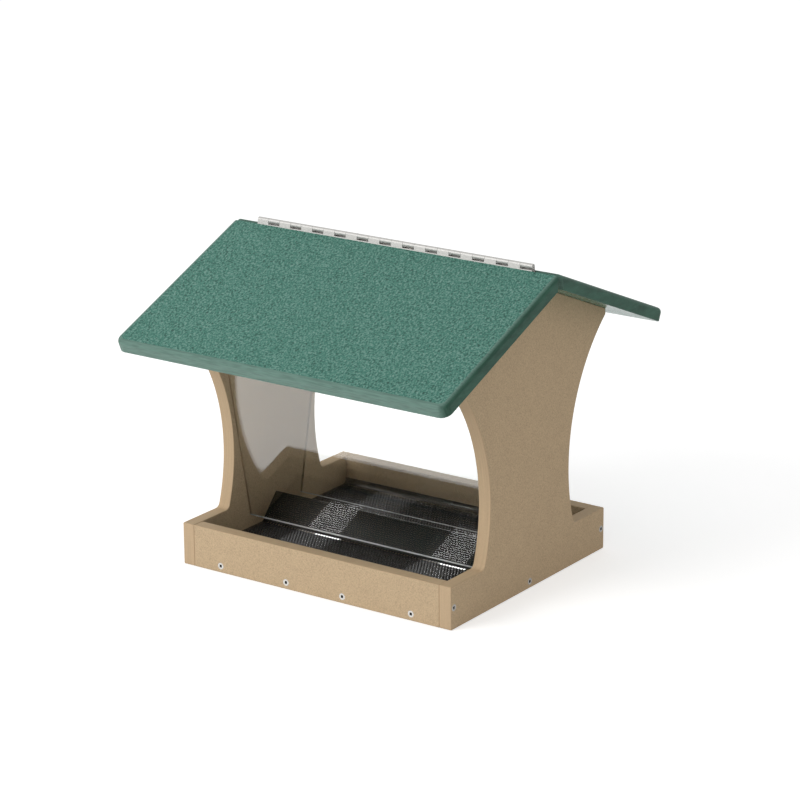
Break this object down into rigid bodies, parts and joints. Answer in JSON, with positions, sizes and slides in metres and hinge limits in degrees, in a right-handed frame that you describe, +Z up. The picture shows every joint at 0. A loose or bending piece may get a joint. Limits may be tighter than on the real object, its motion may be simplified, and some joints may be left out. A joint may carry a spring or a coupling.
{
  "type": "bird feeder",
  "caption": "Two-sided hopper bird feeder of plastic-lumber boards, with a hinged roof panel, clear leaning windows and a perforated seed tray.",
  "frame": {"origin": "middle of the underside, on the surface that the feeder stands on", "axes": "+X along the ridge, -Y towards the front with the lifting roof panel, +Z up"},
  "size_m": [0.362, 0.36, 0.3054],
  "materials": {
    "taupe_board": "fine-grained plastic lumber",
    "green_board": "orange-peel plastic lumber with smooth rounded edges",
    "black_sheet": "black powder coat, perforated",
    "clear_sheet": "clear acrylic",
    "hinge_metal": "satin stainless steel",
    "screw_metal": "bright stainless steel"
  },
  "bodies": {
    "frame": {"left_side_panel": "taupe_board", "right_side_panel": "taupe_board", "front_tray_rail": "taupe_board", "rear_tray_rail": "taupe_board", "left_floor_slat": "taupe_board", "centre_floor_slat": "taupe_board", "right_floor_slat": "taupe_board", "seed_tray": "black_sheet", "front_window": "clear_sheet", "rear_window": "clear_sheet", "rear_roof_panel": "green_board", "hinge_rear_leaf": "hinge_metal", "hinge_pin": "hinge_metal", "rail_end_screws": "screw_metal", "floor_side_screws": "screw_metal", "front_floor_screws": "screw_metal", "rear_floor_screws": "screw_metal", "rear_roof_screws": "screw_metal", "rear_leaf_screws": "screw_metal"},
    "roof_lid": {"front_roof_panel": "green_board", "hinge_front_leaf": "hinge_metal", "front_leaf_screws": "screw_metal"}
  },
  "joints": [
    {"name": "lid_hinge", "type": "hinge", "parent": "frame", "child": "roof_lid", "pos_m": [0, 0, 0.3032], "axis": [-1, 0, 0], "range_deg": [0, 225]}
  ]
}
